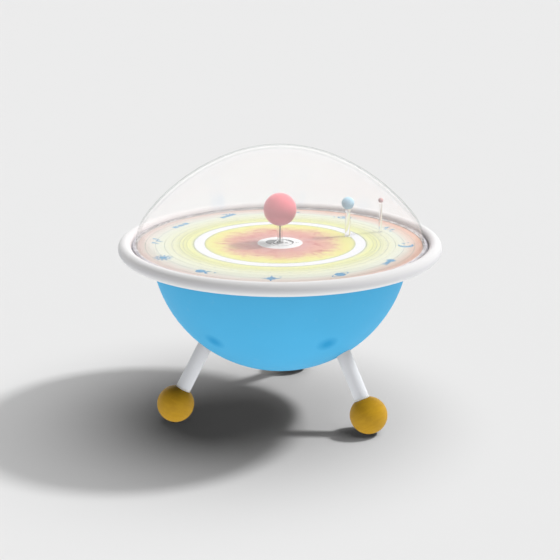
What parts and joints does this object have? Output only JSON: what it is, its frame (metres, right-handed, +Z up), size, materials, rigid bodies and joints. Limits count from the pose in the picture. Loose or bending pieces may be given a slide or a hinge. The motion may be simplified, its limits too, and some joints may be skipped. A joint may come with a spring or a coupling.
{
  "type": "orrery exhibit machine",
  "caption": "Children's orrery machine: a sun and two planets turn over a printed dial under a clear dome, on a round bowl stand with tube rim, splayed legs and ball feet.",
  "frame": {"origin": "on the floor, under the centre of the bowl, rim and dome", "axes": "+Z up, +Y to the back towards the rear leg, +X to the right seen from the front"},
  "size_m": [1.1998, 1.2, 1.015],
  "materials": {
    "blue_gelcoat": "gloss",
    "white_rim": "satin",
    "printed_dial": "satin print",
    "birch_ply": "raw",
    "grey_gasket": "matte",
    "clear_acrylic": "clear gloss",
    "zinc_steel": "zinc plated",
    "aluminium_plate": "milled",
    "white_laminate": "raw laminate",
    "turned_steel": "turned",
    "polished_post": "clear gloss",
    "sun_red": "gloss translucent",
    "lamp_white": "opal",
    "turned_aluminium": "turned",
    "bronze": "sintered",
    "planet_blue": "gloss",
    "planet_rose": "gloss",
    "acetal_gear": "moulded",
    "brass_pinion": "cut",
    "motor_case": "satin",
    "black_plastic": "moulded",
    "red_rocker": "gloss",
    "perforated_case": "pressed",
    "green_board": "solder mask",
    "black_lead": "sheath",
    "white_leg": "satin",
    "amber_ball": "gloss lacquer",
    "black_rubber": "matte"
  },
  "bodies": {
    "stand": {"bowl_shell": "blue_gelcoat", "bottom_cover": "blue_gelcoat", "rim_ring": "white_rim", "fixed_dial_ring": "printed_dial", "dial_spacer_ring": "birch_ply", "dome_gasket": "grey_gasket", "foot_studs": "zinc_steel", "leg_bolts": "zinc_steel", "chassis_plate": "aluminium_plate", "chassis_seat_ring": "white_laminate", "chassis_screws": "zinc_steel", "casing_screws": "zinc_steel", "spindle": "turned_steel", "sun_post": "polished_post", "sun_globe": "sun_red", "sun_lamp": "lamp_white", "countershaft_bracket": "aluminium_plate", "countershaft_bushes": "bronze", "gearmotor": "motor_case", "power_panel": "black_plastic", "inlet_socket": "black_plastic", "switch_body": "black_plastic", "power_supply": "perforated_case", "control_board": "green_board", "lamp_lead": "black_lead", "motor_lead": "black_lead", "mains_lead": "black_lead", "leg_rear": "white_leg", "leg_socket_rear": "turned_steel", "foot_ball_rear": "amber_ball", "foot_pad_rear": "black_rubber", "leg_front_left": "white_leg", "leg_socket_front_left": "turned_steel", "foot_ball_front_left": "amber_ball", "foot_pad_front_left": "black_rubber", "leg_front_right": "white_leg", "leg_socket_front_right": "turned_steel", "foot_ball_front_right": "amber_ball", "foot_pad_front_right": "black_rubber"},
    "dome": {"dome": "clear_acrylic"},
    "outer_turntable": {"outer_dial_ring": "printed_dial", "outer_spider": "aluminium_plate", "spider_standoffs": "turned_aluminium", "outer_sleeve": "turned_aluminium", "outer_bushes": "bronze", "outer_gear": "acetal_gear", "outer_planet_post": "polished_post", "outer_planet": "planet_rose"},
    "inner_turntable": {"inner_dial": "printed_dial", "inner_sleeve": "turned_aluminium", "inner_bushes": "bronze", "inner_gear": "acetal_gear", "inner_planet_post": "polished_post", "inner_planet": "planet_blue"},
    "countershaft": {"countershaft": "turned_steel", "motor_shaft": "turned_steel", "shaft_coupling": "turned_aluminium", "inner_pinion": "brass_pinion", "outer_pinion": "brass_pinion"},
    "rocker": {"switch_rocker": "red_rocker"}
  },
  "joints": [
    {"name": "dome_lift", "type": "slide", "parent": "stand", "child": "dome", "axis": [0, 0, 1], "range_m": [0, 0.4]},
    {"name": "outer_turn", "type": "hinge", "parent": "stand", "child": "outer_turntable", "pos_m": [0, 0, 0.5], "axis": [0, 0, 1], "continuous": true},
    {"name": "inner_turn", "type": "hinge", "parent": "stand", "child": "inner_turntable", "pos_m": [0, 0, 0.5], "axis": [0, 0, 1], "continuous": true},
    {"name": "countershaft_turn", "type": "hinge", "parent": "stand", "child": "countershaft", "pos_m": [0.09, 0, 0.4], "axis": [0, 0, 1], "continuous": true},
    {"name": "rocker_tilt", "type": "hinge", "parent": "stand", "child": "rocker", "pos_m": [-0.025, 0.45105, 0.49083], "axis": [0, -0.342, -0.9397], "range_deg": [0, 20]}
  ],
  "couplings": [
    {"joint": "inner_turn", "follows": "outer_turn", "ratio": 1.8617},
    {"joint": "countershaft_turn", "follows": "outer_turn", "ratio": -3.5}
  ]
}
